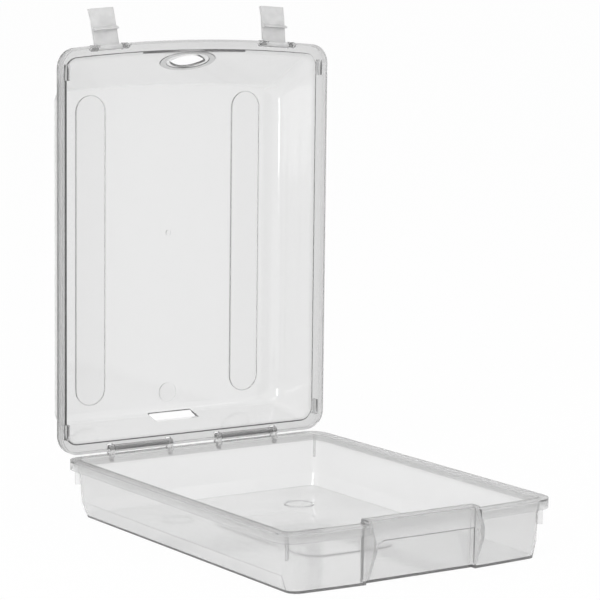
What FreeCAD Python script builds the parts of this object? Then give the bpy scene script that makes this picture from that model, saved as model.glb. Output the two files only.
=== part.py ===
import FreeCAD, Part
import math
import os
import Sketcher
from FreeCAD import Placement, Rotation, Vector

# Clear hinged art supply box standing open. Millimetres, +Z up, +X right, hinge side +Y, origin under the tray.
# Everything on the lid is drawn with the lid shut; the lid's placement then swings it open about the hinge axis.

SIZES = {
    "base_width": 274, "base_back": 181, "base_front": 182, "base_corner": 16,
    "lid_side": 4, "lid_reach": 3, "lid_round": 2,
    "bow_radius": 1400, "wall": 1.8, "floor": 2, "flange": 2, "skirt": 1.8,
    "rim_height": 51, "base_skirt": 8.5, "rim_inset": 7, "front_inset": 8,
    "step_height": 14, "step_inset": 9, "foot_inset": 13, "wall_corner": 10,
    "recess_half": 55, "recess_depth": 14, "lip_half": 52.5, "lip_reach": 2, "lip_lean": 8, "lip_rise": 2.5,
    "lip_drop": 13.5, "gusset": 3.5, "arch_radius": 8,
    "ring_x": 64, "ring_y": 102, "ring_radius": 14, "plateau_x": 46, "plateau_y": 80, "relief": 0.9,
    "lid_gap": 6, "lid_depth": 46, "lid_inset": 7, "lid_draft": 13, "lid_slope": 36, "panel_corner": 13,
    "panel_round": 10, "shelf_half": 54, "shelf": 3, "seat_gap": 0.3,
    "stadium_x": 83, "stadium_radius": 15, "stadium_back_inset": 34, "stadium_front_inset": 51,
    "gate_inset": 39, "gate_radius": 9, "dot_y": 5, "dot_radius": 2.5,
    "hole_half": 19, "hole_rise": 7.5, "hole_level": 14,
    "slot_half": 23.5, "slot_deep": 4.8, "slot_inset": 16.2, "slot_corner": 1.5,
    "hinge_x": 57, "hinge_back": 1, "hinge_rise": 4, "hinge_span": 65.5, "lug": 4, "lug_radius": 3.6,
    "knuckle_gap": 0.75, "knuckle_radius": 3.4, "pin_radius": 1.6, "run_fit": 0.05,
    "latch_inset": 52.5, "latch_width": 24.5, "latch_setback": 2.6, "barrel_radius": 2.4, "trunnion_radius": 1.5,
    "ear": 6, "ear_radius": 3, "arm_gap": 3, "arm": 2.5, "hook_level": 15.8, "hook_reach": 1.4,
    "latch_length": 36, "latch_lean": 12,
}

doc = FreeCAD.newDocument("art_supply_box")
sheet = doc.addObject("Spreadsheet::Sheet", "Sheet")
for row, (alias, number) in enumerate(SIZES.items(), start=1):
    sheet.set("A%d" % row, alias)
    sheet.set("B%d" % row, str(number))
    sheet.setAlias("B%d" % row, alias)
doc.recompute()


# A size is a number together with the sheet expression that gives it.
class Size:
    def __init__(self, value, text):
        self.value = float(value)
        self.text = text

    def join(self, other, sign, value):
        return Size(value, "(%s %s %s)" % (self.text, sign, size(other).text))

    def __add__(self, other):
        return self.join(other, "+", self.value + size(other).value)

    def __sub__(self, other):
        return self.join(other, "-", self.value - size(other).value)

    def __mul__(self, other):
        return self.join(other, "*", self.value * size(other).value)

    def __truediv__(self, other):
        return self.join(other, "/", self.value / size(other).value)

    def __neg__(self):
        return Size(-self.value, "(0 - %s)" % self.text)


def size(thing):
    if isinstance(thing, Size):
        return thing
    return Size(thing, "%.9g" % thing)


def cell(alias):
    return Size(sheet.get(alias), "Sheet." + alias)


def bind(thing, prop, amount):
    thing.setExpression(prop, size(amount).text)


# Bodies, sketches and features

def new_body(label):
    body = doc.addObject("PartDesign::Body", label)
    body.Label = label
    return body


def new_sketch(body, name, plane, level=0, shift=(0, 0), turn=None):
    sketch = body.newObject("Sketcher::SketchObject", name)
    for item in body.Origin.OriginFeatures:
        if item.Role == plane:
            sketch.AttachmentSupport = [(item, "")]
    sketch.MapMode = "FlatFace"
    axis, angle = turn if turn else (Vector(0, 0, 1), size(0))
    spot = Vector(size(shift[0]).value, size(shift[1]).value, size(level).value)
    sketch.AttachmentOffset = Placement(spot, Rotation(axis, angle.value))
    bind(sketch, "AttachmentOffset.Base.x", shift[0])
    bind(sketch, "AttachmentOffset.Base.y", shift[1])
    bind(sketch, "AttachmentOffset.Base.z", level)
    if turn:
        bind(sketch, "AttachmentOffset.Rotation.Angle", angle)
    return sketch


def hold(sketch, kind, *spec):
    *where, amount = spec
    index = sketch.addConstraint(Sketcher.Constraint(kind, *where, size(amount).value))
    bind(sketch, "Constraints[%d]" % index, amount)


def pin_point(sketch, geo, end, x, y):
    hold(sketch, "DistanceX", -1, 1, geo, end, x)
    hold(sketch, "DistanceY", -1, 1, geo, end, y)


# A closed path of straight sides; a side listed in arcs is an arc of that radius, bulging outwards.
def path(sketch, points, arcs=None):
    arcs = arcs or {}
    spots = [Vector(size(x).value, size(y).value, 0) for x, y in points]
    first = None
    count = len(points)
    for i in range(count):
        a, b = spots[i], spots[(i + 1) % count]
        if i in arcs:
            radius = size(arcs[i]).value
            half = (b - a) * 0.5
            across = Vector(-half.y, half.x, 0).normalize()
            centre = a + half + across * math.sqrt(radius ** 2 - half.Length ** 2)
            start = math.atan2(a.y - centre.y, a.x - centre.x)
            end = math.atan2(b.y - centre.y, b.x - centre.x)
            if end < start:
                end += 2 * math.pi
            curve = Part.ArcOfCircle(Part.Circle(centre, Vector(0, 0, 1), radius), start, end)
        else:
            curve = Part.LineSegment(a, b)
        geo = sketch.addGeometry(curve, False)
        first = geo if first is None else first
    for i in range(count):
        geo = first + i
        sketch.addConstraint(Sketcher.Constraint("Coincident", geo, 2, first + (i + 1) % count, 1))
        pin_point(sketch, geo, 1, *points[i])
        if i in arcs:
            hold(sketch, "Radius", geo, arcs[i])


def box(sketch, x0, x1, y0, y1):
    path(sketch, [(x0, y0), (x1, y0), (x1, y1), (x0, y1)])


def circle(sketch, x, y, radius):
    spot = Vector(size(x).value, size(y).value, 0)
    geo = sketch.addGeometry(Part.Circle(spot, Vector(0, 0, 1), size(radius).value), False)
    pin_point(sketch, geo, 3, x, y)
    hold(sketch, "Radius", geo, radius)


# A rounded rectangle drawn counter-clockwise; a radius of half the width makes a stadium.
def rounded(sketch, x0, x1, y0, y1, radius):
    points = [(x0 + radius, y0), (x1 - radius, y0), (x1, y0 + radius), (x1, y1 - radius),
              (x1 - radius, y1), (x0 + radius, y1), (x0, y1 - radius), (x0, y0 + radius)]
    path(sketch, points, {1: radius, 3: radius, 5: radius, 7: radius})


# The case's outline: straight back and sides, a bowed front, four round corners, each side tangent to the next.
def outline(sketch, half, back, front, corner):
    w, b, f, r, bow = (size(v).value for v in (half, back, front, corner, cell("bow_radius")))
    middle = Vector(0, bow - f, 0)
    drop = math.sqrt((bow - r) ** 2 - (w - r) ** 2)
    low = middle.y - drop
    lean = math.atan2(w - r, drop)
    z_axis = Vector(0, 0, 1)

    def arc(centre, radius, start, end):
        return Part.ArcOfCircle(Part.Circle(centre, z_axis, radius), start, end)

    turn = math.pi / 2
    first = sketch.addGeometry(arc(middle, bow, 3 * turn - lean, 3 * turn + lean), False)
    sketch.addGeometry(arc(Vector(w - r, low, 0), r, 3 * turn + lean, 4 * turn), False)
    sketch.addGeometry(Part.LineSegment(Vector(w, low, 0), Vector(w, b - r, 0)), False)
    sketch.addGeometry(arc(Vector(w - r, b - r, 0), r, 0, turn), False)
    sketch.addGeometry(Part.LineSegment(Vector(w - r, b, 0), Vector(r - w, b, 0)), False)
    sketch.addGeometry(arc(Vector(r - w, b - r, 0), r, turn, 2 * turn), False)
    sketch.addGeometry(Part.LineSegment(Vector(-w, b - r, 0), Vector(-w, low, 0)), False)
    sketch.addGeometry(arc(Vector(r - w, low, 0), r, 2 * turn, 3 * turn - lean), False)
    for i in range(8):
        sketch.addConstraint(Sketcher.Constraint("Tangent", first + i, 2, first + (i + 1) % 8, 1))
    sketch.addConstraint(Sketcher.Constraint("Vertical", first + 2))
    sketch.addConstraint(Sketcher.Constraint("Horizontal", first + 4))
    sketch.addConstraint(Sketcher.Constraint("Vertical", first + 6))
    for i in (3, 5, 7):
        sketch.addConstraint(Sketcher.Constraint("Equal", first + 1, first + i))
    sketch.addConstraint(Sketcher.Constraint("PointOnObject", first, 3, -2))
    hold(sketch, "Radius", first + 1, corner)
    hold(sketch, "Radius", first, cell("bow_radius"))
    hold(sketch, "DistanceY", -1, 1, first, 3, cell("bow_radius") - front)
    hold(sketch, "DistanceX", -1, 1, first + 2, 1, half)
    hold(sketch, "DistanceX", -1, 1, first + 6, 1, -half)
    hold(sketch, "DistanceY", -1, 1, first + 4, 1, back)


def pad(body, sketch, name, length):
    feature = body.newObject("PartDesign::Pad", name)
    feature.Profile = sketch
    bind(feature, "Length", length)
    doc.recompute()
    return feature


def cut(body, sketch, name, length):
    before = body.Shape.Volume
    feature = body.newObject("PartDesign::Pocket", name)
    feature.Profile = sketch
    feature.Reversed = True
    bind(feature, "Length", length)
    doc.recompute()
    if not body.Shape.Volume < before - 0.01:
        raise RuntimeError(name + " cut nothing")
    return feature


def loft(body, kind, name, sections, ruled):
    feature = body.newObject("PartDesign::" + kind, name)
    feature.Profile = sections[0]
    feature.Sections = sections[1:]
    feature.Ruled = ruled
    doc.recompute()
    return feature


C = {alias: cell(alias) for alias in SIZES}
base_half = C["base_width"] / 2
lid_half = base_half + C["lid_side"]
lid_back = C["base_back"] + C["lid_reach"]
lid_front = C["base_front"] + C["lid_reach"]
lid_corner = C["base_corner"] + C["lid_round"]
rim_top = C["rim_height"]
hinge_y = C["base_back"] + C["hinge_back"]
hinge_z = rim_top + C["hinge_rise"]
knuckle_length = C["hinge_span"] - (C["lug"] + C["knuckle_gap"]) * 2
rim_under = rim_top - C["flange"]
latch_x = lid_half - C["latch_inset"]
latch_tilt = latch_x / C["bow_radius"] * (180 / math.pi)
latch_edge = lid_front - latch_x * latch_x / C["bow_radius"] / 2
latch_y = -(latch_edge - C["latch_setback"])
lid_under = rim_top + C["lid_gap"]
latch_z = lid_under + C["flange"] / 2


# Base tray

def hollow_tray(body):
    wall = C["wall"]
    levels = [(size(0), C["foot_inset"]), (C["step_height"], C["step_inset"]), (rim_top, C["rim_inset"])]
    outer, inner = [], []
    for i, (level, inset) in enumerate(levels):
        sketch = new_sketch(body, "tray_outer_%d" % i, "XY_Plane", level)
        outline(sketch, base_half - inset, C["base_back"] - inset, C["base_front"] - C["front_inset"], C["wall_corner"])
        outer.append(sketch)
    loft(body, "AdditiveLoft", "tray_form", outer, True)
    rim = new_sketch(body, "tray_rim", "XY_Plane", rim_under)
    outline(rim, base_half, C["base_back"], C["base_front"], C["base_corner"])
    pad(body, rim, "tray_flange", C["flange"])
    ring = new_sketch(body, "tray_skirt_ring", "XY_Plane", rim_top - C["base_skirt"])
    outline(ring, base_half, C["base_back"], C["base_front"], C["base_corner"])
    thick = C["skirt"]
    outline(ring, base_half - thick, C["base_back"] - thick, C["base_front"] - thick, C["base_corner"] - thick)
    pad(body, ring, "tray_skirt", C["base_skirt"])
    for i, (level, inset) in enumerate(levels):
        deep = inset + wall
        sketch = new_sketch(body, "tray_inner_%d" % i, "XY_Plane", C["floor"] if i == 0 else level)
        outline(sketch, base_half - deep, C["base_back"] - deep, C["base_front"] - C["front_inset"] - wall,
                C["wall_corner"] - wall)
        inner.append(sketch)
    loft(body, "SubtractiveLoft", "tray_cavity", inner, True)


def finger_recess(body):
    wall = C["wall"]
    half = C["recess_half"]
    face = -(C["base_front"] - C["recess_depth"])
    far = -(C["base_front"] + 20)
    backing = new_sketch(body, "recess_backing_plan", "XY_Plane")
    box(backing, -(half + wall), half + wall, -(C["base_front"] - C["front_inset"] - 1), face + wall)
    pad(body, backing, "recess_backing", rim_top)
    hollow = new_sketch(body, "recess_plan", "XY_Plane", -1)
    box(hollow, -half, half, far, face)
    cut(body, hollow, "recess", rim_top + 3)


# The lip: a ledge on top of the recessed panel, a face leaning forward from it, and a gusset closing each end.
def handle_lip(body):
    wall = C["wall"]
    half = C["lip_half"]
    outside = half + C["gusset"]
    panel = -(C["base_front"] - C["recess_depth"])
    low_y = -(C["base_front"] + C["lip_reach"])
    top_y = low_y + C["lip_lean"]
    top = rim_top + C["lip_rise"]
    low = rim_top - C["lip_drop"]
    slope = C["lip_lean"] / (top - low)
    thick = wall * math.hypot(1, slope.value)
    hood = new_sketch(body, "lip_section", "YZ_Plane", -outside)
    path(hood, [(low_y, low), (low_y + thick, low), (top_y + thick - slope * wall, top - wall), (panel, top - wall),
                (panel, rim_top - 1), (panel + wall, rim_top - 1), (panel + wall, top), (top_y, top)])
    pad(body, hood, "lip", outside * 2)
    wall_y = -(C["base_front"] - C["front_inset"] - 1)
    knee = low - C["arch_radius"] - 1
    for side, start in (("left", -outside), ("right", half)):
        fin = new_sketch(body, "gusset_section_" + side, "YZ_Plane", start)
        path(fin, [(low_y, knee), (wall_y - 1, C["floor"] * 2), (panel, C["floor"] * 2), (panel, top), (top_y, top),
                   (low_y, low)])
        pad(body, fin, "gusset_" + side, C["gusset"])
    bend = C["arch_radius"]
    corners = {"left": [(-half, low), (bend - half, low), (-half, low - bend)],
               "right": [(half, low - bend), (half - bend, low), (half, low)]}
    for side, points in corners.items():
        arch = new_sketch(body, "arch_face_" + side, "XZ_Plane", -(low_y + thick))
        path(arch, points, {1 if side == "left" else 0: bend})
        pad(body, arch, "arch_" + side, thick)


def floor_marks(body):
    plate = new_sketch(body, "plateau_plan", "XY_Plane", C["floor"] - 0.5)
    rounded(plate, -C["plateau_x"], C["plateau_x"], -C["plateau_y"], C["plateau_y"], size(18))
    pad(body, plate, "plateau", C["relief"] + 0.5)
    for name, side in (("left", -1), ("right", 1)):
        ring = new_sketch(body, "floor_ring_plan_" + name, "XY_Plane", C["floor"] - 0.5)
        circle(ring, C["ring_x"] * side, C["ring_y"], C["ring_radius"])
        circle(ring, C["ring_x"] * side, C["ring_y"], C["ring_radius"] - 1.5)
        pad(body, ring, "floor_ring_" + name, C["relief"] + 0.5)


def hinge_lugs(body):
    r = C["lug_radius"]
    seat = rim_top - 0.8
    toe = rim_top - C["base_skirt"]
    inner = C["base_back"] - C["skirt"] / 2
    for name, side in (("left", -1), ("right", 1)):
        middle = C["hinge_x"] * side
        half = C["hinge_span"] / 2
        for number, start in ((1, middle - half), (2, middle + half - C["lug"])):
            tag = "%s_%d" % (name, number)
            web = new_sketch(body, "lug_section_" + tag, "YZ_Plane", start)
            points = [(hinge_y + r, hinge_z), (hinge_y, hinge_z + r), (hinge_y - r, hinge_z), (hinge_y - r, seat),
                      (inner, seat), (inner, toe), (hinge_y + r, hinge_z - r * 2)]
            path(web, points, {0: r, 1: r})
            pad(body, web, "lug_" + tag, C["lug"])
        bore = new_sketch(body, "lug_bore_section_" + name, "YZ_Plane", middle - half)
        circle(bore, hinge_y, hinge_z, C["pin_radius"])
        cut(body, bore, "lug_bore_" + name, C["hinge_span"])


base = new_body("base_tray")
hollow_tray(base)
finger_recess(base)
handle_lip(base)
floor_marks(base)
hinge_lugs(base)


# Lid shell, drawn shut

# Cross-section of the lid's wall at a distance inside its outer face: straight draft, then a quarter round to the panel.
def wall_inset(run, offset, height, angle):
    depth, bend = C["lid_depth"], C["panel_round"]
    lean = math.atan2(run.value, depth.value)
    if angle < lean:
        return run / depth * height + offset / math.cos(lean)
    centre = run / depth * (depth - bend) + bend / math.cos(lean)
    return centre - (bend - offset) * math.cos(angle)


def lid_section(body, name, offset, height, angle):
    side = C["lid_inset"] + wall_inset(C["lid_draft"], offset, height, angle)
    front = C["lid_inset"] + wall_inset(C["lid_slope"], offset, height, angle)
    sketch = new_sketch(body, name, "XY_Plane", lid_under + height)
    outline(sketch, lid_half - side, lid_back - side, lid_front - front, C["panel_corner"] - offset)
    return sketch


# The shell's form at a distance inside its outer face: ruled walls up to the round, a smooth round up to the panel.
def lid_form(body, kind, name, offset):
    depth, bend = C["lid_depth"], C["panel_round"]
    stations = []
    for degrees in (16, 28, 40, 56, 73, 90):
        angle = math.radians(degrees)
        stations.append((depth - bend + (bend - offset) * math.sin(angle), angle))
    walls = [lid_section(body, name + "_foot", offset, size(0), 0.0)]
    walls.append(lid_section(body, name + "_knee", offset, *stations[0]))
    loft(body, kind, name + "_walls", walls, True)
    turns = []
    for number, (height, angle) in enumerate(stations):
        turns.append(lid_section(body, "%s_turn_%d" % (name, number), offset, height, angle))
    loft(body, kind, name + "_round", turns, False)


def hollow_lid(body):
    lid_form(body, "AdditiveLoft", "lid_outer", size(0))
    rim = new_sketch(body, "lid_rim", "XY_Plane", lid_under)
    outline(rim, lid_half, lid_back, lid_front, lid_corner)
    pad(body, rim, "lid_flange", C["flange"])
    ring = new_sketch(body, "lid_skirt_ring", "XY_Plane", rim_top)
    thick = C["skirt"]
    outline(ring, lid_half, lid_back, lid_front, lid_corner)
    outline(ring, lid_half - thick, lid_back - thick, lid_front - thick, lid_corner - thick)
    pad(body, ring, "lid_skirt", C["lid_gap"] + C["flange"])
    lid_form(body, "SubtractiveLoft", "lid_inner", C["wall"])


def lid_front_middle(body):
    front = lid_front - C["lid_inset"]
    shelf = new_sketch(body, "lid_shelf_plan", "XY_Plane", lid_under)
    half = C["shelf_half"]
    box(shelf, -half, half, -front, -(front - C["shelf"] - C["wall"]))
    pad(body, shelf, "lid_shelf", C["flange"])
    eye = new_sketch(body, "lid_eye_face", "XZ_Plane", lid_front - 60, (0, lid_under + C["hole_level"]))
    w, rise = C["hole_half"], C["hole_rise"]
    bend = (w * w + rise * rise) / rise / 2
    path(eye, [(-w, 0), (w, 0)], {0: bend, 1: bend})
    cut(body, eye, "lid_eye", 60)


def lid_marks(body):
    top = lid_under + C["lid_depth"]
    for name, side in (("left", -1), ("right", 1)):
        x = C["stadium_x"] * side
        r = C["stadium_radius"]
        plan = new_sketch(body, "stadium_plan_" + name, "XY_Plane", top - 0.5)
        back, front = lid_back - C["stadium_back_inset"], C["stadium_front_inset"] - lid_front
        points = [(x - r, front + r), (x, front), (x + r, front + r), (x + r, back - r), (x, back), (x - r, back - r)]
        path(plan, points, {0: r, 1: r, 3: r, 4: r})
        pad(body, plan, "stadium_" + name, C["relief"] + 0.5)
    gate = new_sketch(body, "gate_plan", "XY_Plane", top - 0.5)
    circle(gate, 0, lid_back - C["gate_inset"], C["gate_radius"])
    pad(body, gate, "gate_ring", C["relief"] + 0.5)
    dot = new_sketch(body, "dot_plan", "XY_Plane", top - 0.5)
    circle(dot, 0, -C["dot_y"], C["dot_radius"])
    pad(body, dot, "gate_dot", C["relief"] + 0.5)
    slot = new_sketch(body, "slot_plan", "XY_Plane", top - 20)
    half = C["slot_half"]
    edge = lid_back - C["slot_inset"]
    rounded(slot, -half, half, edge - C["slot_deep"], edge, C["slot_corner"])
    cut(body, slot, "hang_slot", 21)


def lid_seats(body):
    x = base_half - C["rim_inset"] / 2
    for name, side, y in (("back_left", -1, C["base_back"] - 18), ("back_right", 1, C["base_back"] - 18),
                          ("front_left", -1, -(C["base_front"] - 24)), ("front_right", 1, -(C["base_front"] - 24))):
        plan = new_sketch(body, "seat_plan_" + name, "XY_Plane", rim_top + C["seat_gap"])
        box(plan, x * side - 1.5, x * side + 1.5, y - 7, y + 7)
        pad(body, plan, "seat_" + name, C["lid_gap"])


def lid_hinge(body):
    near = hinge_y - C["lug_radius"] - 0.6
    far = lid_back + 5
    relief = new_sketch(body, "back_relief_plan", "XY_Plane", rim_top - 1)
    box(relief, -lid_half, lid_half, near, far)
    cut(body, relief, "back_relief", 2.2)
    for name, side in (("left", -1), ("right", 1)):
        middle = C["hinge_x"] * side
        half = C["hinge_span"] / 2
        gap = new_sketch(body, "hinge_gap_plan_" + name, "XY_Plane", rim_top - 1)
        box(gap, middle - half - 0.6, middle + half + 0.6, near, far)
        cut(body, gap, "hinge_gap_" + name, C["lid_gap"] + 1)
        for number, start in ((1, middle - half), (2, middle + half - C["lug"])):
            tag = "%s_%d" % (name, number)
            room = new_sketch(body, "lug_room_plan_" + tag, "XY_Plane", rim_top - 1)
            box(room, start - 0.6, start + C["lug"] + 0.6, near, far)
            cut(body, room, "lug_room_" + tag, C["lid_gap"] + C["flange"] + 2)
        knuckle = new_sketch(body, "knuckle_section_" + name, "YZ_Plane", middle - knuckle_length / 2)
        circle(knuckle, hinge_y, hinge_z, C["knuckle_radius"])
        pad(body, knuckle, "knuckle_" + name, knuckle_length)
        bore = new_sketch(body, "knuckle_bore_section_" + name, "YZ_Plane", middle - knuckle_length / 2 - 1)
        circle(bore, hinge_y, hinge_z, C["pin_radius"] + C["run_fit"])
        cut(body, bore, "knuckle_bore_" + name, knuckle_length + 2)


def latch_ears(body):
    room = C["latch_width"] / 2 + 0.5
    reach = room + C["ear"]
    for name, side in (("left", -1), ("right", 1)):
        x = latch_x * side
        tilt = latch_tilt * side
        across = (Vector(0, 1, 0), tilt)
        flat = (Vector(0, 0, 1), tilt)
        bar = new_sketch(body, "ear_section_" + name, "YZ_Plane", x, (latch_y, latch_z), across)
        circle(bar, 0, 0, C["ear_radius"])
        feature = pad(body, bar, "ears_" + name, reach * 2)
        feature.Midplane = True
        notch = new_sketch(body, "latch_notch_plan_" + name, "XY_Plane", rim_top - 1, (x, latch_y), flat)
        box(notch, -room, room, -8, C["ear_radius"])
        cut(body, notch, "latch_notch_" + name, C["lid_gap"] + C["flange"] + 5)
        bore = new_sketch(body, "ear_bore_section_" + name, "YZ_Plane", x, (latch_y, latch_z), across)
        circle(bore, 0, 0, C["trunnion_radius"] + C["run_fit"])
        hole = cut(body, bore, "ear_bore_" + name, reach * 2 + 4)
        hole.Midplane = True
        doc.recompute()


lid = new_body("lid_shell")
hollow_lid(lid)
lid_front_middle(lid)
lid_marks(lid)
lid_seats(lid)
lid_hinge(lid)
latch_ears(lid)
lid.Placement = Placement(Vector(0, 0, 0), Rotation(Vector(1, 0, 0), -90))
bind(lid, "Placement.Base.y", hinge_y - hinge_z)
bind(lid, "Placement.Base.z", hinge_y + hinge_z)


# Latches, drawn standing up with the pivot at the origin

def latch(name, side):
    body = new_body(name)
    half = C["latch_width"] / 2
    barrel_r = C["barrel_radius"]
    lean = (Vector(0, 0, 1), -C["latch_lean"])
    barrel = new_sketch(body, name + "_barrel_section", "YZ_Plane", -half)
    circle(barrel, 0, 0, barrel_r)
    pad(body, barrel, name + "_barrel", half * 2)
    inner = C["arm_gap"]
    outer = inner + C["arm"]
    hook, tip = C["hook_level"], C["latch_length"]
    arm = new_sketch(body, name + "_arm_section", "YZ_Plane", -half, turn=lean)
    path(arm, [(0, -barrel_r + 0.1), (inner, -barrel_r + 0.1), (outer, 0.5), (outer, tip - 9), (outer + 2.2, tip),
               (inner + 0.8, tip), (inner, tip - 9), (inner, hook + 3.6), (-C["hook_reach"], hook + 1),
               (-C["hook_reach"], hook), (inner, hook), (inner, barrel_r - 0.1), (0, barrel_r - 0.1)])
    pad(body, arm, name + "_arm", half * 2)
    length = half * 2 + C["ear"] * 2 - 1
    pivot = new_sketch(body, name + "_trunnion_section", "YZ_Plane", length / -2)
    circle(pivot, 0, 0, C["trunnion_radius"])
    pad(body, pivot, name + "_trunnions", length)
    body.Placement = Placement(Vector(0, 0, 0), Rotation(Vector(0, 1, 0), latch_tilt.value * side))
    bind(body, "Placement.Rotation.Angle", latch_tilt * side)
    bind(body, "Placement.Base.x", latch_x * side)
    bind(body, "Placement.Base.y", hinge_y - hinge_z + latch_z)
    bind(body, "Placement.Base.z", hinge_y + hinge_z - latch_y)
    return body


latches = [latch("latch_left", -1), latch("latch_right", 1)]


# Hinge pins, held by the tray's lugs

def hinge_pin(name, side):
    pin = doc.addObject("Part::Cylinder", name)
    pin.Label = name
    bind(pin, "Radius", C["pin_radius"])
    bind(pin, "Height", C["hinge_span"])
    pin.Placement = Placement(Vector(0, 0, 0), Rotation(Vector(0, 1, 0), 90))
    bind(pin, "Placement.Base.x", C["hinge_x"] * side - C["hinge_span"] / 2)
    bind(pin, "Placement.Base.y", hinge_y)
    bind(pin, "Placement.Base.z", hinge_z)
    return pin


pins = [hinge_pin("hinge_pin_left", -1), hinge_pin("hinge_pin_right", 1)]


# Check every object, then write one file per piece

doc.recompute()
for item in doc.Objects:
    if "Invalid" in item.State or "Error" in item.State:
        raise RuntimeError("failed: " + item.Name)
os.makedirs("parts", exist_ok=True)
for piece in [base, lid] + latches + pins:
    shape = piece.Shape
    if shape.isNull() or not shape.isValid() or len(shape.Solids) != 1:
        raise RuntimeError("bad shape: " + piece.Label)
    shape.exportStep("parts/%s.step" % piece.Label)
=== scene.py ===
import math
import bpy
import bmesh
from mathutils import Matrix, Vector

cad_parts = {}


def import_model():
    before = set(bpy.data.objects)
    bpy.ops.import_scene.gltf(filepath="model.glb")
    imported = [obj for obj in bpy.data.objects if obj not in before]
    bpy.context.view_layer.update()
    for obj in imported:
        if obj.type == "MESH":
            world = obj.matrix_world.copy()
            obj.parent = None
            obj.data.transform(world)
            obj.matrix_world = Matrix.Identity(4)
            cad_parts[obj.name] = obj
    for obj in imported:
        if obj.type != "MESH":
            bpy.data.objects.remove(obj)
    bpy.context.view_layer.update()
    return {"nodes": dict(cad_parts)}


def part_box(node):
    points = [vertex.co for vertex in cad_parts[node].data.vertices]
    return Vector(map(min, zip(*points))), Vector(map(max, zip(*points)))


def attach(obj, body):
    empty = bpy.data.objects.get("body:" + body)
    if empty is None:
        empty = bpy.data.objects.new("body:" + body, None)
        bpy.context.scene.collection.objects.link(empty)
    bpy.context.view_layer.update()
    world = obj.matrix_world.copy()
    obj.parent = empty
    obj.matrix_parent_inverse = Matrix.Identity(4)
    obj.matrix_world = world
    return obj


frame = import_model()
nodes = frame["nodes"]
scene = bpy.context.scene
scene.view_settings.view_transform = "Standard"
MM = 0.001
WHITE = (1, 1, 1, 1)
PLASTIC_IOR = 1.49


# Colours are sRGB hex values, turned to linear here
def colour(text):
    parts = []
    for i in (0, 2, 4):
        c = int(text[i:i + 2], 16) / 255
        parts.append(c / 12.92 if c <= 0.04045 else ((c + 0.055) / 1.055) ** 2.4)
    return (*parts, 1.0)


# One node, with its settings and the links into it
def add(tree, kind, settings=None, links=None, **props):
    node = tree.nodes.new(kind)
    for name, value in props.items():
        setattr(node, name, value)
    for name, value in (settings or {}).items():
        node.inputs[name].default_value = value
    for name, source in (links or {}).items():
        tree.links.new(source, node.inputs[name])
    return node


def new_material(name):
    material = bpy.data.materials.new(name)
    material.use_nodes = True
    material.node_tree.nodes.clear()
    return material, material.node_tree


# Clear polypropylene, moulded smooth: a slight haze, a soft flow ripple, grey where light runs along a wall.
# The rim is moulded satin, so it blurs what lies behind it, and its colour is greyer: painted shade that
# stands in for the shade where light runs edge-on through the rim. The rim's painted shade and satin start
# at rim_start and are full at rim_full, both in mm along the axis. Clarity is the share of light that
# passes.
def clear_plastic(name, clarity, wall_shade, rim_painted_shade, axis, rim_start, rim_full):
    flow_width = 45 * MM
    ripple_depth = 2 * MM
    rim_satin = 0.12
    material, tree = new_material("clear_polypropylene_moulded_" + name)
    place = add(tree, "ShaderNodeTexCoord").outputs["Object"]
    parts = add(tree, "ShaderNodeSeparateXYZ", links={"Vector": place})
    rim = add(tree, "ShaderNodeMapRange", {"From Min": rim_start * MM, "From Max": rim_full * MM},
              {"Value": parts.outputs[axis]})
    # Painted shade: the ramp goes from the wall's tint to a greyer rim colour, in place of the shade where
    # light runs edge-on through the rim
    tint_and_painted_rim_shade = add(tree, "ShaderNodeValToRGB", links={"Fac": rim.outputs["Result"]})
    tint_and_painted_rim_shade.color_ramp.elements[0].color = colour(wall_shade)
    tint_and_painted_rim_shade.color_ramp.elements[1].color = colour(rim_painted_shade)
    flow = add(tree, "ShaderNodeTexNoise", {"Scale": 1 / flow_width, "Detail": 2.0, "Distortion": 0.6},
               {"Vector": place})
    gloss = add(tree, "ShaderNodeMapRange", {"To Min": 0.04, "To Max": 0.1}, {"Value": flow.outputs["Fac"]})
    satin = add(tree, "ShaderNodeMath", {1: rim_satin}, {
        0: rim.outputs["Result"],
        2: gloss.outputs["Result"],
    }, operation="MULTIPLY_ADD")
    ripple = add(tree, "ShaderNodeBump", {"Strength": 0.06, "Distance": ripple_depth},
                 {"Height": flow.outputs["Fac"]})
    shader = add(tree, "ShaderNodeBsdfPrincipled", {"IOR": PLASTIC_IOR, "Transmission Weight": clarity}, {
        "Base Color": tint_and_painted_rim_shade.outputs["Color"],
        "Roughness": satin.outputs[0],
        "Normal": ripple.outputs["Normal"],
    })
    depth = add(tree, "ShaderNodeVolumeAbsorption", {"Color": colour("BCBCBC"), "Density": 48.0})
    add(tree, "ShaderNodeOutputMaterial", links={
        "Surface": shader.outputs["BSDF"],
        "Volume": depth.outputs["Volume"],
    })
    return material


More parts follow.
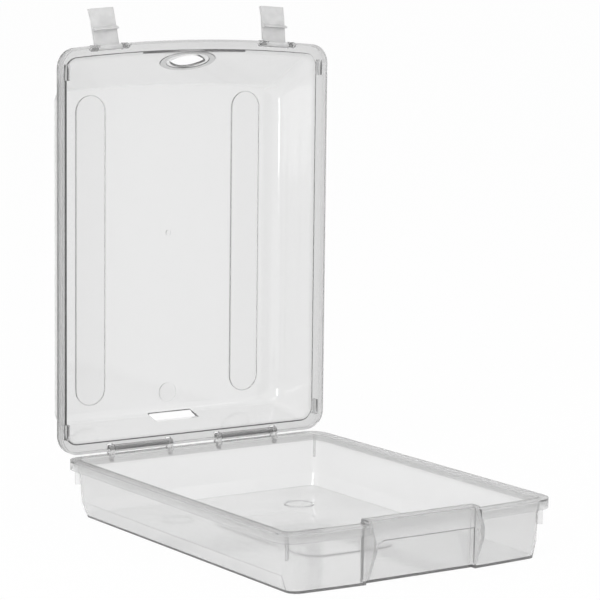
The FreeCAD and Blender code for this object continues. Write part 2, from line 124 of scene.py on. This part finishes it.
# Milky polypropylene of the latches, moulded satin: cloudy flow marks, and light passes but no shapes show.
# The satin grain is drawn coarser than a real one, so that it can be seen.
def milky_plastic():
    cloud_width = 9 * MM
    grain_width = 1.2 * MM
    grain_depth = 0.1 * MM
    material, tree = new_material("milky_polypropylene_moulded")
    place = add(tree, "ShaderNodeTexCoord").outputs["Object"]
    cloud = add(tree, "ShaderNodeTexNoise", {"Scale": 1 / cloud_width, "Detail": 3.0}, {"Vector": place})
    tint = add(tree, "ShaderNodeValToRGB", links={"Fac": cloud.outputs["Fac"]})
    tint.color_ramp.elements[0].position = 0.3
    tint.color_ramp.elements[0].color = colour("D4D4D4")
    tint.color_ramp.elements[1].position = 0.7
    tint.color_ramp.elements[1].color = colour("E2E2E2")
    grain = add(tree, "ShaderNodeTexNoise", {"Scale": 1 / grain_width, "Detail": 2.0}, {"Vector": place})
    satin = add(tree, "ShaderNodeBump", {"Strength": 0.15, "Distance": grain_depth},
                {"Height": grain.outputs["Fac"]})
    shader = add(tree, "ShaderNodeBsdfPrincipled", {
        "Roughness": 0.38,
        "IOR": PLASTIC_IOR,
        "Transmission Weight": 0.3,
    }, {"Base Color": tint.outputs["Color"], "Normal": satin.outputs["Normal"]})
    add(tree, "ShaderNodeOutputMaterial", links={"Surface": shader.outputs["BSDF"]})
    return material


# Hinge rod of drawn polypropylene: solid, so greyer than the walls, with fine draw lines along it.
# The lines are drawn wider than real ones, so that they can be seen.
def rod_plastic():
    line_width = 0.6 * MM
    line_depth = 0.1 * MM
    stretch = (0.02, 1, 1)
    material, tree = new_material("polypropylene_rod_drawn")
    place = add(tree, "ShaderNodeTexCoord").outputs["Object"]
    along = add(tree, "ShaderNodeMapping", {"Scale": stretch}, {"Vector": place})
    lines = add(tree, "ShaderNodeTexNoise", {"Scale": 1 / line_width, "Detail": 2.0},
                {"Vector": along.outputs["Vector"]})
    drawn = add(tree, "ShaderNodeBump", {"Strength": 0.3, "Distance": line_depth},
                {"Height": lines.outputs["Fac"]})
    shader = add(tree, "ShaderNodeBsdfPrincipled", {
        "Base Color": colour("A4A4A4"),
        "Roughness": 0.22,
        "IOR": PLASTIC_IOR,
        "Transmission Weight": 0.4,
    }, {"Normal": drawn.outputs["Normal"]})
    add(tree, "ShaderNodeOutputMaterial", links={"Surface": shader.outputs["BSDF"]})
    return material


# The second colour of each clear plastic is painted shade on its rim
tray_plastic = clear_plastic("tray", 0.87, "F9F9F9", "F4F4F4", axis="Z", rim_start=40, rim_full=44)
lid_plastic = clear_plastic("lid", 0.92, "F2F2F2", "E6E6E6", axis="Y", rim_start=190, rim_full=186)
latch_plastic = milky_plastic()
pin_plastic = rod_plastic()
finishes = {
    "base_tray": tray_plastic,
    "lid_shell": lid_plastic,
    "latch_left": latch_plastic,
    "latch_right": latch_plastic,
    "hinge_pin_left": pin_plastic,
    "hinge_pin_right": pin_plastic,
}
for name, finish in finishes.items():
    nodes[name].data.materials.clear()
    nodes[name].data.materials.append(finish)


# A small form moulded on one of the bodies, with its doubles merged and its faces turned outwards
def moulded_on(name, form, finish, body):
    bmesh.ops.remove_doubles(form, verts=form.verts, dist=0.01 * MM)
    bmesh.ops.recalc_face_normals(form, faces=form.faces)
    mesh = bpy.data.meshes.new(name)
    form.to_mesh(mesh)
    form.free()
    piece = bpy.data.objects.new(name, mesh)
    piece.data.materials.append(finish)
    scene.collection.objects.link(piece)
    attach(piece, body)


# A ring, spun about an axis through the origin from the corners of its section in mm
def spun_ring(corners, axis):
    form = bmesh.new()
    section = [form.verts.new(Vector(corner) * MM) for corner in corners]
    sides = [form.edges.new((section[i - 1], section[i])) for i in range(len(section))]
    bmesh.ops.spin(form, geom=section + sides, axis=axis, angle=math.tau, steps=96, use_merge=True)
    return form


# Raised band round the lens-shaped hole, on the inside of the lid's sloping front.
# It is spun round, narrowed to the lens, and laid on the slope at the hole's middle.
def hole_band():
    middle = Vector((0, 198, 404)) * MM
    slope = Vector((0, 46, -36)).normalized()
    root, crest = -1.6, -2.4
    narrowing = 0.5
    across = Vector((1, 0, 0))
    turn = Matrix((across, slope, across.cross(slope))).transposed().to_4x4()
    form = spun_ring([(29, 0, root), (28.4, 0, crest), (22.6, 0, crest), (22, 0, root)], axis=(0, 0, 1))
    bmesh.ops.scale(form, verts=form.verts, vec=(1, narrowing, 1))
    bmesh.ops.transform(form, verts=form.verts, matrix=Matrix.Translation(middle) @ turn)
    moulded_on("hole_band", form, lid_plastic, "lid")


# Thin bead along the edge of each long mark, on the inside of the lid's panel.
# A ring is spun, its upper half is moved up to make the straight sides, and it is copied to the other side.
def mark_beads():
    mark_x = 83 * MM
    mark_low = 102 * MM
    straight = 254 * MM
    mark_relief = 0.9 * MM
    wall = 1.8 * MM
    root, crest = 0.3, -0.4
    panel_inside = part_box("lid_shell")[1][1] - mark_relief - wall
    corners = [(15.4, root, 0), (15.25, crest, 0), (14.75, crest, 0), (14.6, root, 0)]
    form = spun_ring(corners, axis=(0, 1, 0))
    upper = [v for v in form.verts if v.co.z > 0.1 * MM]
    bmesh.ops.translate(form, verts=upper, vec=(0, 0, straight))
    bmesh.ops.translate(form, verts=form.verts, vec=(-mark_x, panel_inside, mark_low))
    twin = bmesh.ops.duplicate(form, geom=form.verts[:] + form.edges[:] + form.faces[:])["geom"]
    right = [item for item in twin if isinstance(item, bmesh.types.BMVert)]
    bmesh.ops.translate(form, verts=right, vec=(2 * mark_x, 0, 0))
    moulded_on("mark_beads", form, lid_plastic, "lid")


# Ribs under the tray's rim, one across each corner, between the wall and the skirt.
# Reaches are in mm from the middle of the wall's round corner; the foot of a rib follows the wall's draft.
def corner_ribs():
    thick = 2 * MM
    low, high = 28, 49.5
    wall_reach, outer_reach = 9.5, 13.5
    corner_inset = 17 * MM
    corner_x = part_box("base_tray")[1][0] - corner_inset
    back = {"toward": 1, "corner_y": 164 * MM, "foot_reach": 7.7}
    front = {"toward": -1, "corner_y": -158.8 * MM, "foot_reach": 8.7}
    form = bmesh.new()
    for side in (-1, 1):
        for end in (back, front):
            section = []
            for reach, height in ((wall_reach, high), (end["foot_reach"], low), (outer_reach, low),
                                  (outer_reach, high)):
                section.append(form.verts.new((reach * MM, -thick / 2, height * MM)))
            face = form.faces.new(section)
            made = bmesh.ops.extrude_face_region(form, geom=[face], use_keep_orig=True)["geom"]
            far = [item for item in made if isinstance(item, bmesh.types.BMVert)]
            bmesh.ops.translate(form, verts=far, vec=(0, thick, 0))
            turn = Matrix.Rotation(math.atan2(end["toward"], side), 4, "Z")
            place = Matrix.Translation((corner_x * side, end["corner_y"], 0))
            bmesh.ops.transform(form, verts=section + far, matrix=place @ turn)
    moulded_on("corner_ribs", form, tray_plastic, "base")


hole_band()
mark_beads()
corner_ribs()


# 1 for the rays of the camera, of reflections and of clear plastic, which see plain white, and else 0
def seen_directly(tree):
    path = add(tree, "ShaderNodeLightPath")
    share = path.outputs["Is Camera Ray"]
    for kind in ("Is Glossy Ray", "Is Transmission Ray"):
        larger = add(tree, "ShaderNodeMath", links={0: share, 1: path.outputs[kind]}, operation="MAXIMUM")
        share = larger.outputs[0]
    return share


# White floor: mostly plain white where it is seen, with a share of paint that keeps the shadow
def floor():
    half_size = 30
    gap = 0.5 * MM
    white_share = 0.96
    material, tree = new_material("white_floor")
    paint = add(tree, "ShaderNodeBsdfDiffuse", {"Color": colour("F4F4F4")})
    glow = add(tree, "ShaderNodeEmission", {"Color": WHITE, "Strength": 1.0})
    share = add(tree, "ShaderNodeMath", {1: white_share}, {0: seen_directly(tree)}, operation="MULTIPLY")
    mix = add(tree, "ShaderNodeMixShader", links={
        0: share.outputs[0],
        1: paint.outputs[0],
        2: glow.outputs[0],
    })
    add(tree, "ShaderNodeOutputMaterial", links={"Surface": mix.outputs[0]})
    mesh = bpy.data.meshes.new("floor")
    form = bmesh.new()
    bmesh.ops.create_grid(form, x_segments=1, y_segments=1, size=half_size)
    bmesh.ops.translate(form, verts=form.verts, vec=(0, 0, -gap))
    form.to_mesh(mesh)
    form.free()
    plane = bpy.data.objects.new("floor", mesh)
    plane.data.materials.append(material)
    scene.collection.objects.link(plane)


# Studio: white wherever it is seen, and a softer light on everything else
def world():
    sky = bpy.data.worlds.new("studio")
    scene.world = sky
    sky.use_nodes = True
    tree = sky.node_tree
    tree.nodes.clear()
    soft = add(tree, "ShaderNodeBackground", {"Color": WHITE, "Strength": 0.75})
    white = add(tree, "ShaderNodeBackground", {"Color": WHITE, "Strength": 1.0})
    mix = add(tree, "ShaderNodeMixShader", links={
        0: seen_directly(tree),
        1: soft.outputs[0],
        2: white.outputs[0],
    })
    add(tree, "ShaderNodeOutputWorld", links={"Surface": mix.outputs[0]})


# Soft lamp in metres and watts
def softbox(name, place, aim, width, height, power):
    lamp = bpy.data.lights.new(name, "AREA")
    lamp.shape = "RECTANGLE"
    lamp.size = width
    lamp.size_y = height
    lamp.energy = power
    box = bpy.data.objects.new(name, lamp)
    place = Vector(place)
    turn = (Vector(aim) - place).to_track_quat("-Z", "Y").to_matrix().to_4x4()
    box.matrix_world = Matrix.Translation(place) @ turn
    scene.collection.objects.link(box)


# Camera: azimuth and elevation of the view, its small roll, and the distance to the point it aims at
def camera():
    azimuth = math.radians(33.88)
    elevation = math.radians(7.88)
    roll = math.radians(0.67)
    aim = Vector((-6.16, 0, 207.18)) * MM
    distance = 2279 * MM
    focal_pixels = 2659.5
    picture_pixels = 600
    sensor = 36
    level = Vector((math.sin(azimuth), math.cos(azimuth), 0)) * math.cos(elevation)
    ahead = level - Vector((0, 0, math.sin(elevation)))
    right = Vector((math.cos(azimuth), -math.sin(azimuth), 0))
    up = right.cross(ahead)
    rolled_right = right * math.cos(roll) + up * math.sin(roll)
    rolled_up = up * math.cos(roll) - right * math.sin(roll)
    turn = Matrix((rolled_right, rolled_up, -ahead)).transposed().to_4x4()
    eye = bpy.data.objects.new("camera", bpy.data.cameras.new("camera"))
    eye.data.sensor_width = sensor
    eye.data.lens = focal_pixels / picture_pixels * sensor
    eye.data.clip_end = 100
    eye.matrix_world = Matrix.Translation(aim - ahead * distance) @ turn
    scene.collection.objects.link(eye)
    scene.camera = eye


floor()
world()
softbox("key", place=(-1.7, -0.9, 0.8), aim=(0, 0.1, 0.25), width=0.7, height=1.5, power=18)
softbox("top", place=(-0.6, -1.0, 2.4), aim=(0, 0, 0.2), width=1.5, height=1.5, power=8)
softbox("fill", place=(1.8, -0.6, 1.4), aim=(0, 0, 0.2), width=1.5, height=1.5, power=5)
camera()
